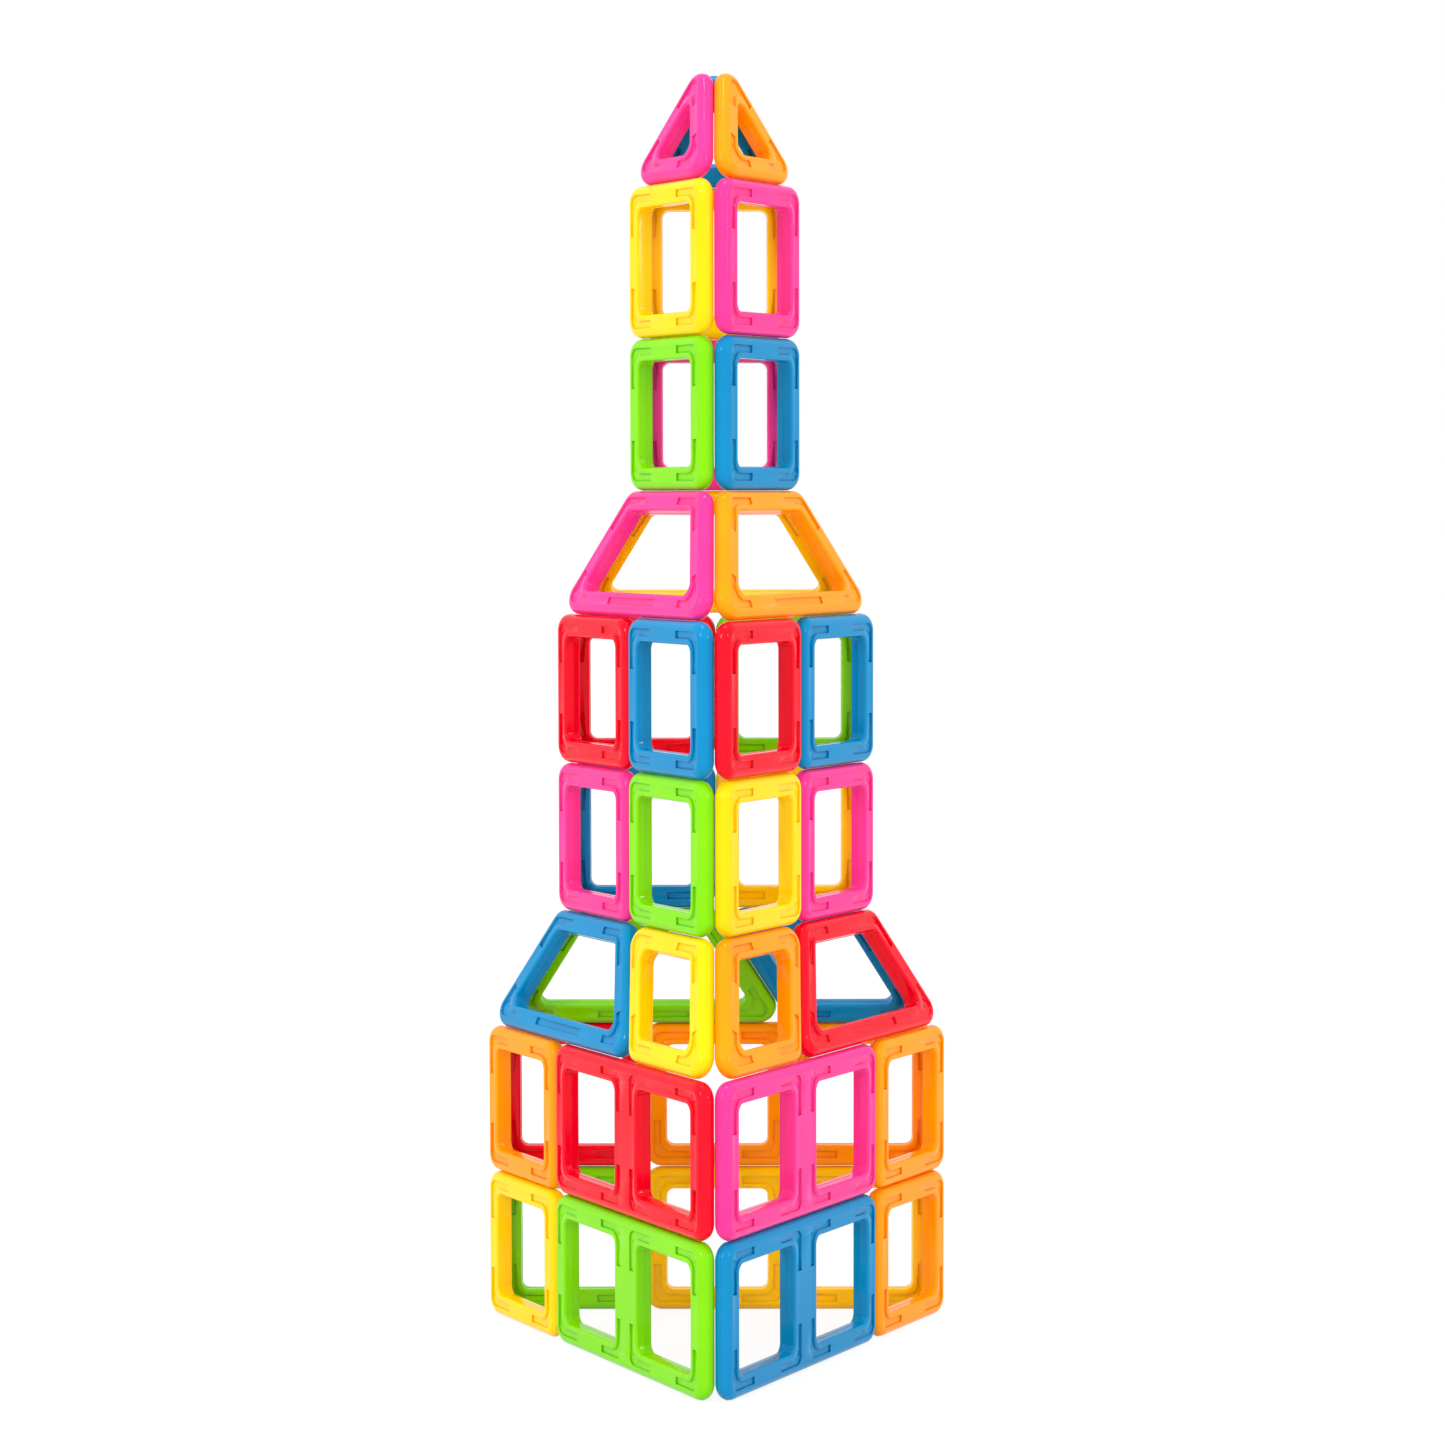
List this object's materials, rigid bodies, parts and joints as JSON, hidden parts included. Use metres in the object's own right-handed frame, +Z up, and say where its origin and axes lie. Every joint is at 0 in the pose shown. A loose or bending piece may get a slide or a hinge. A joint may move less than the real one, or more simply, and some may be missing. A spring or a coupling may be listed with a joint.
{
  "type": "magnetic frame tower",
  "caption": "Free-standing triangular tower of snap-together magnetic window frames: upright tiers, leaning tiers that step in, and a pointed spire.",
  "frame": {"origin": "middle of the bounding box's base, on the surface the tower stands on", "axes": "+Z up towards the spire; -Y towards the tower's front corner; +X to the right seen from the front corner"},
  "size_m": [0.2006, 0.1746, 0.5376],
  "materials": {
    "yellow": "yellow injection-moulded gloss plastic",
    "orange": "orange injection-moulded gloss plastic",
    "pink": "pink injection-moulded gloss plastic",
    "red": "red injection-moulded gloss plastic",
    "green": "green injection-moulded gloss plastic",
    "blue": "blue injection-moulded gloss plastic",
    "magnet": "nickel-plated magnet rod"
  },
  "bodies": {
    "tier1": {"tier1_back_green_square": "green", "tier1_back_yellow_double": "yellow", "tier1_left_green_double": "green", "tier1_left_yellow_square": "yellow", "tier1_magnets": "magnet", "tier1_right_blue_double": "blue"},
    "tier2": {"tier2_back_orange_double": "orange", "tier2_back_red_square": "red", "tier2_left_red_double": "red", "tier2_magnets": "magnet", "tier2_right_orange_square": "orange", "tier2_right_pink_double": "pink"},
    "tier3": {"tier3_back_blue_rhombus": "blue", "tier3_back_green_trapezium": "green", "tier3_left_yellow_rhombus": "yellow", "tier3_magnets": "magnet", "tier3_right_orange_rhombus": "orange", "tier3_right_red_trapezium": "red"},
    "tier4": {"tier4_back_blue_square": "blue", "tier4_back_yellow_square": "yellow", "tier4_left_green_square": "green", "tier4_left_pink_square": "pink", "tier4_magnets": "magnet", "tier4_right_yellow_square": "yellow"},
    "tier5": {"tier5_back_green_square": "green", "tier5_back_red_square": "red", "tier5_left_blue_square": "blue", "tier5_magnets": "magnet", "tier5_right_blue_square": "blue", "tier5_right_red_square": "red"},
    "tier6": {"tier6_back_yellow_trapezium": "yellow", "tier6_left_pink_trapezium": "pink", "tier6_magnets": "magnet"},
    "tier7": {"tier7_back_pink_square": "pink", "tier7_left_green_square": "green", "tier7_magnets": "magnet"},
    "tier8": {"tier8_back_yellow_square": "yellow", "tier8_left_yellow_square": "yellow", "tier8_magnets": "magnet", "tier8_right_pink_square": "pink"},
    "tier1_right_orange_square": {"tier1_right_orange_square": "orange", "tier1_right_orange_square_magnets": "magnet"},
    "tier2_left_orange_square": {"tier2_left_orange_square": "orange", "tier2_left_orange_square_magnets": "magnet"},
    "tier3_left_blue_trapezium": {"tier3_left_blue_trapezium": "blue", "tier3_left_blue_trapezium_magnets": "magnet"},
    "tier4_right_pink_square": {"tier4_right_pink_square": "pink", "tier4_right_pink_square_magnets": "magnet"},
    "tier5_left_red_square": {"tier5_left_red_square": "red", "tier5_left_red_square_magnets": "magnet"},
    "tier6_right_orange_trapezium": {"tier6_right_orange_trapezium": "orange", "tier6_right_orange_trapezium_magnets": "magnet"},
    "tier7_right_blue_square": {"tier7_right_blue_square": "blue", "tier7_right_blue_square_magnets": "magnet"},
    "spire_left_pink_triangle": {"spire_left_pink_triangle": "pink", "spire_left_pink_triangle_magnets": "magnet"},
    "spire_right_orange_triangle": {"spire_right_orange_triangle": "orange", "spire_right_orange_triangle_magnets": "magnet"},
    "spire_back_blue_triangle": {"spire_back_blue_triangle": "blue", "spire_back_blue_triangle_magnets": "magnet"}
  },
  "joints": [
    {"name": "tier2_lift", "type": "slide", "parent": "tier1", "child": "tier2", "axis": [0, 0, 1], "range_m": [0, 0.03]},
    {"name": "tier3_lift", "type": "slide", "parent": "tier2", "child": "tier3", "axis": [0, 0, 1], "range_m": [0, 0.03]},
    {"name": "tier4_lift", "type": "slide", "parent": "tier3", "child": "tier4", "axis": [0, 0, 1], "range_m": [0, 0.03]},
    {"name": "tier5_lift", "type": "slide", "parent": "tier4", "child": "tier5", "axis": [0, 0, 1], "range_m": [0, 0.03]},
    {"name": "tier6_lift", "type": "slide", "parent": "tier5", "child": "tier6", "axis": [0, 0, 1], "range_m": [0, 0.03]},
    {"name": "tier7_lift", "type": "slide", "parent": "tier6", "child": "tier7", "axis": [0, 0, 1], "range_m": [0, 0.03]},
    {"name": "tier8_lift", "type": "slide", "parent": "tier7", "child": "tier8", "axis": [0, 0, 1], "range_m": [0, 0.03]},
    {"name": "tier1_right_orange_square_door", "type": "hinge", "parent": "tier1", "child": "tier1_right_orange_square", "pos_m": [0.0964, 0.07659, 0.032], "axis": [0, 0, 1], "range_deg": [0, 120]},
    {"name": "tier2_left_orange_square_door", "type": "hinge", "parent": "tier2", "child": "tier2_left_orange_square", "pos_m": [-0.0964, 0.07659, 0.0964], "axis": [0, 0, -1], "range_deg": [0, 120]},
    {"name": "tier3_left_blue_trapezium_flap", "type": "hinge", "parent": "tier3", "child": "tier3_left_blue_trapezium", "pos_m": [-0.05113, 0.03325, 0.17753], "axis": [-0.5, 0.866, 0], "range_deg": [0, 65]},
    {"name": "tier4_right_pink_square_door", "type": "hinge", "parent": "tier4", "child": "tier4_right_pink_square", "pos_m": [0.0644, 0.05812, 0.21368], "axis": [0, 0, 1], "range_deg": [0, 120]},
    {"name": "tier5_left_red_square_door", "type": "hinge", "parent": "tier5", "child": "tier5_left_red_square", "pos_m": [-0.0644, 0.05812, 0.27808], "axis": [0, 0, -1], "range_deg": [0, 120]},
    {"name": "tier6_right_orange_trapezium_flap", "type": "hinge", "parent": "tier6", "child": "tier6_right_orange_trapezium", "pos_m": [0.0189, 0.01464, 0.35918], "axis": [-0.5, -0.866, 0], "range_deg": [0, 65]},
    {"name": "tier7_right_blue_square_door", "type": "hinge", "parent": "tier7", "child": "tier7_right_blue_square", "pos_m": [0.0322, 0.03953, 0.39532], "axis": [0, 0, 1], "range_deg": [0, 120]},
    {"name": "spire_left_pink_triangle_petal", "type": "hinge", "parent": "tier8", "child": "spire_left_pink_triangle", "pos_m": [-0.01671, 0.01591, 0.49576], "axis": [0.5, -0.866, 0], "range_deg": [0, 100]},
    {"name": "spire_right_orange_triangle_petal", "type": "hinge", "parent": "tier8", "child": "spire_right_orange_triangle", "pos_m": [0.01671, 0.01591, 0.49576], "axis": [0.5, 0.866, 0], "range_deg": [0, 100]},
    {"name": "spire_back_blue_triangle_petal", "type": "hinge", "parent": "tier8", "child": "spire_back_blue_triangle", "pos_m": [0, 0.04485, 0.49576], "axis": [-1, 0, 0], "range_deg": [0, 100]}
  ]
}
